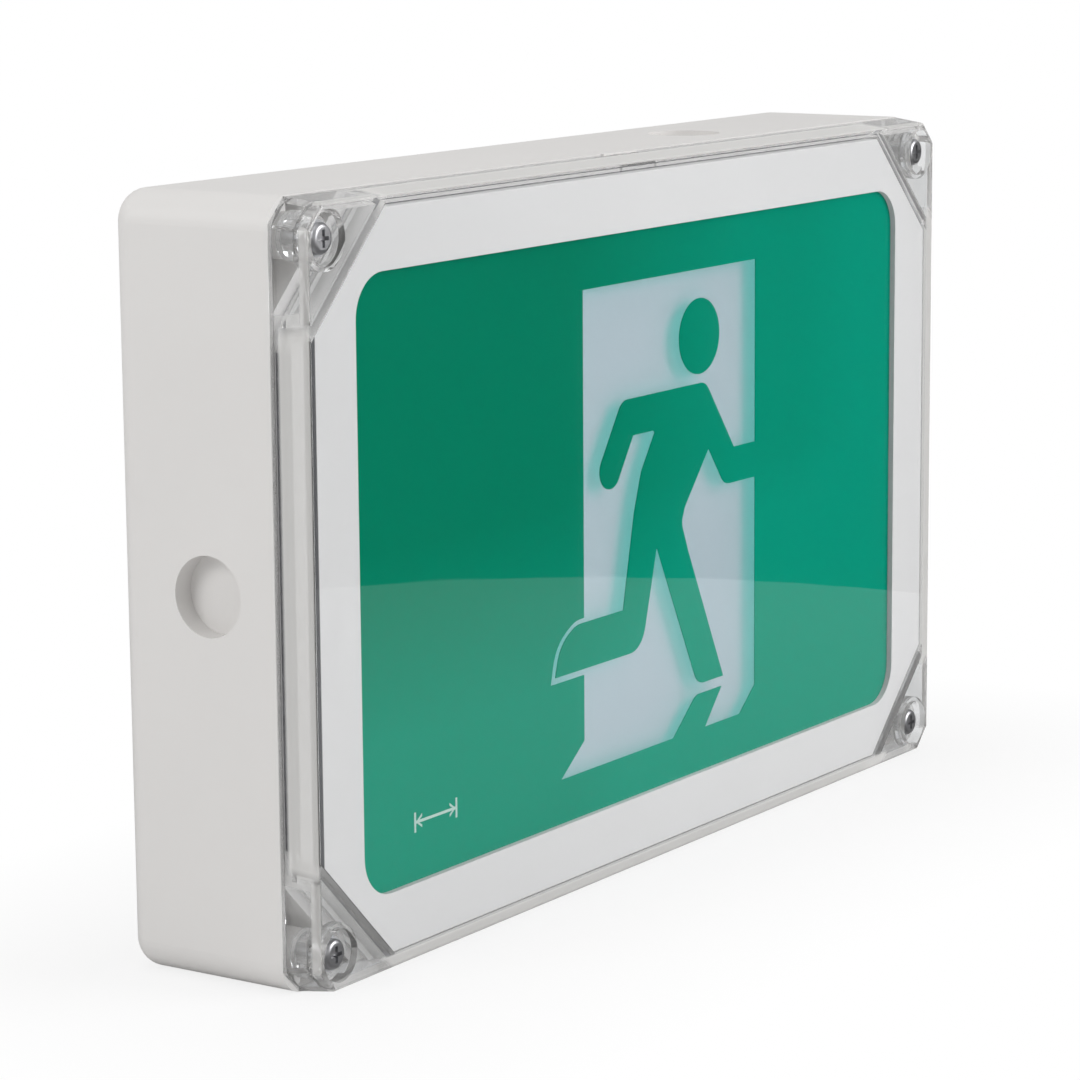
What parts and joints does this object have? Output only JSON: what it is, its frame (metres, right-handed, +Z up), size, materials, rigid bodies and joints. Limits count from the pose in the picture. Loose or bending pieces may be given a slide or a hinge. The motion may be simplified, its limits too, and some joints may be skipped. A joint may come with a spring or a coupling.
{
  "type": "emergency exit light",
  "caption": "Weatherproof wall exit light: white base box, clear screwed cover, green running-figure legend, sealed lamps, battery and test button.",
  "frame": {"origin": "centre of the flat rear face that lies on the wall", "axes": "+X to the right and +Z up seen from the front, +Y into the wall; the legend faces -Y"},
  "size_m": [0.386, 0.073, 0.24],
  "materials": {
    "white_housing": "satin white polycarbonate",
    "lead_red": "insulation",
    "pack_sleeve": "shrunk sleeve",
    "bush_nickel": "plated brass",
    "lead_blue": "insulation",
    "lamp_epoxy": "clear epoxy",
    "lens_green": "tinted lens",
    "clear_cover": "clear polished polycarbonate",
    "black_rubber": "matt foamed rubber",
    "screw_steel": "stainless steel",
    "opal_diffuser": "opal acrylic",
    "pale_ink": "printed ink",
    "board_green": "green solder mask",
    "capacitor_sleeve": "shrunk sleeve",
    "gear_case": "moulded plastic",
    "connector_white": "nylon",
    "gear_lid": "moulded plastic",
    "winding": "taped winding",
    "grey_rubber": "matt rubber",
    "white_steel": "white powder coat",
    "board_white": "white solder mask",
    "lamp_yellow": "phosphor",
    "lead_white": "insulation",
    "sign_green": "translucent green film",
    "clear_plate": "clear acrylic",
    "white_tray": "satin white polycarbonate",
    "lead_brown": "insulation",
    "terminal_grey": "nylon",
    "spring_steel": "bright spring steel",
    "white_spacer": "white plastic",
    "nylon_washer": "nylon",
    "tag_brass": "tinned brass",
    "button_red": "moulded plastic",
    "switch_black": "moulded plastic",
    "insert_nickel": "nickel-plated brass"
  },
  "bodies": {
    "housing": {"base_housing": "white_housing", "battery_clips": "spring_steel", "battery_leads": "lead_red", "battery_pack": "pack_sleeve", "button_bush": "bush_nickel", "button_leads": "lead_blue", "button_nut": "bush_nickel", "button_spring": "spring_steel", "charge_lamp": "lamp_epoxy", "charge_lens": "lens_green", "clear_cover": "clear_cover", "cover_gasket": "black_rubber", "cover_screws": "screw_steel", "diffuser_plate": "opal_diffuser", "distance_mark": "pale_ink", "driver_board": "board_green", "driver_capacitors": "capacitor_sleeve", "driver_case": "gear_case", "driver_connector": "connector_white", "driver_lid": "gear_lid", "driver_posts": "nylon_washer", "driver_screws": "screw_steel", "driver_transformer": "winding", "entry_grommet": "grey_rubber", "fixing_seals": "grey_rubber", "gear_tray": "white_steel", "gear_tray_screws": "screw_steel", "lamp_board_lower": "board_white", "lamp_board_screws": "screw_steel", "lamp_board_upper": "board_white", "lamp_chips": "lamp_yellow", "lamp_leads": "lead_white", "legend_film": "sign_green", "legend_plate": "clear_plate", "legend_tray": "white_tray", "mains_leads": "lead_brown", "mains_terminal": "terminal_grey", "plate_retainers": "spring_steel", "plate_spacer": "white_spacer", "screw_washers": "nylon_washer", "strap_screws": "screw_steel", "switch_tags": "tag_brass", "terminal_screws": "screw_steel", "test_switch": "switch_black", "threaded_inserts": "insert_nickel"},
    "plunger": {"test_plunger": "button_red"}
  },
  "joints": [
    {"name": "test_button", "type": "slide", "parent": "housing", "child": "plunger", "axis": [0, 0, 1], "range_m": [0, 0.002], "stiffness_N_per_m": 600, "springref_m": -0.003, "deforming": ["button_spring"]}
  ]
}
